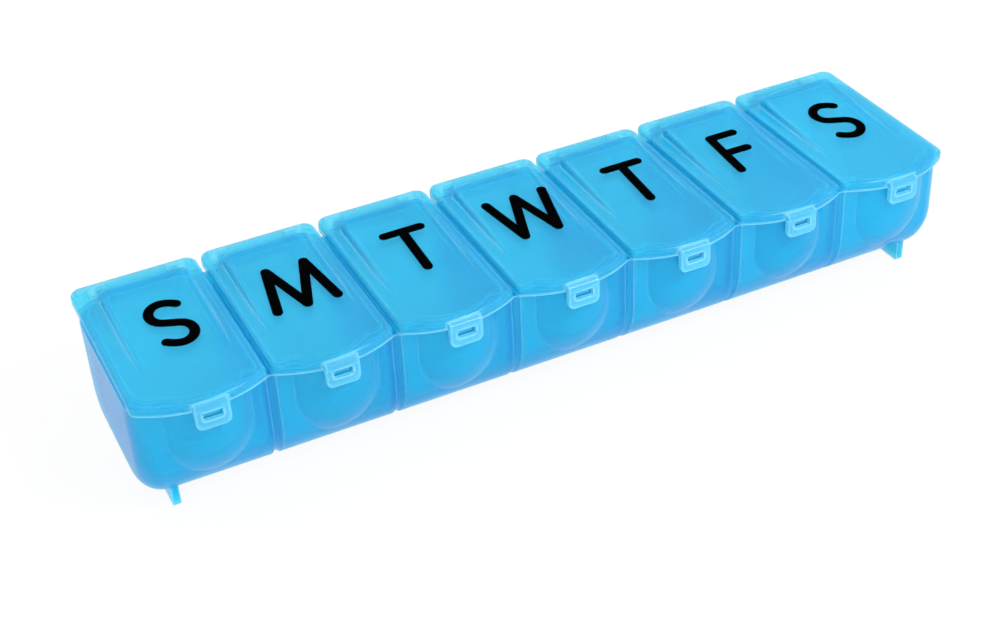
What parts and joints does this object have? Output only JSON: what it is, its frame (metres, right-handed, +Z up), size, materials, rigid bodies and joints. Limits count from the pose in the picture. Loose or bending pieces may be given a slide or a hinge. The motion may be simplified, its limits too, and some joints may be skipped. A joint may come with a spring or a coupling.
{
  "type": "weekly pill organizer",
  "caption": "Weekly pill organizer with its pockets in a row: a translucent tray with bowed fronts, each pocket closed by its own hinged flip lid with a latch tab and a day letter.",
  "frame": {"origin": "under the middle of the whole piece, on the surface its runners stand on", "axes": "+X along the row from the first day to the last, +Y from the latches to the hinges, +Z up"},
  "size_m": [0.2204, 0.0588, 0.0374],
  "materials": {
    "tray_plastic": "translucent blue polypropylene, satin gloss",
    "lid_plastic": "translucent blue polypropylene, satin gloss",
    "pin_plastic": "translucent blue polypropylene",
    "black_print": "matt black printing ink"
  },
  "bodies": {
    "tray": {"tray": "tray_plastic", "hinge_pin_sunday": "pin_plastic", "hinge_pin_monday": "pin_plastic", "hinge_pin_tuesday": "pin_plastic", "hinge_pin_wednesday": "pin_plastic", "hinge_pin_thursday": "pin_plastic", "hinge_pin_friday": "pin_plastic", "hinge_pin_saturday": "pin_plastic"},
    "lid_sunday": {"lid_sunday": "lid_plastic", "day_mark_sunday": "black_print"},
    "lid_monday": {"lid_monday": "lid_plastic", "day_mark_monday": "black_print"},
    "lid_tuesday": {"lid_tuesday": "lid_plastic", "day_mark_tuesday": "black_print"},
    "lid_wednesday": {"lid_wednesday": "lid_plastic", "day_mark_wednesday": "black_print"},
    "lid_thursday": {"lid_thursday": "lid_plastic", "day_mark_thursday": "black_print"},
    "lid_friday": {"lid_friday": "lid_plastic", "day_mark_friday": "black_print"},
    "lid_saturday": {"lid_saturday": "lid_plastic", "day_mark_saturday": "black_print"}
  },
  "joints": [
    {"name": "hinge_sunday", "type": "hinge", "parent": "tray", "child": "lid_sunday", "pos_m": [-0.093, 0.0274, 0.0314], "axis": [-1, 0, 0], "range_deg": [0, 115]},
    {"name": "hinge_monday", "type": "hinge", "parent": "tray", "child": "lid_monday", "pos_m": [-0.062, 0.0274, 0.0314], "axis": [-1, 0, 0], "range_deg": [0, 115]},
    {"name": "hinge_tuesday", "type": "hinge", "parent": "tray", "child": "lid_tuesday", "pos_m": [-0.031, 0.0274, 0.0314], "axis": [-1, 0, 0], "range_deg": [0, 115]},
    {"name": "hinge_wednesday", "type": "hinge", "parent": "tray", "child": "lid_wednesday", "pos_m": [0, 0.0274, 0.0314], "axis": [-1, 0, 0], "range_deg": [0, 115]},
    {"name": "hinge_thursday", "type": "hinge", "parent": "tray", "child": "lid_thursday", "pos_m": [0.031, 0.0274, 0.0314], "axis": [-1, 0, 0], "range_deg": [0, 115]},
    {"name": "hinge_friday", "type": "hinge", "parent": "tray", "child": "lid_friday", "pos_m": [0.062, 0.0274, 0.0314], "axis": [-1, 0, 0], "range_deg": [0, 115]},
    {"name": "hinge_saturday", "type": "hinge", "parent": "tray", "child": "lid_saturday", "pos_m": [0.093, 0.0274, 0.0314], "axis": [-1, 0, 0], "range_deg": [0, 115]}
  ]
}
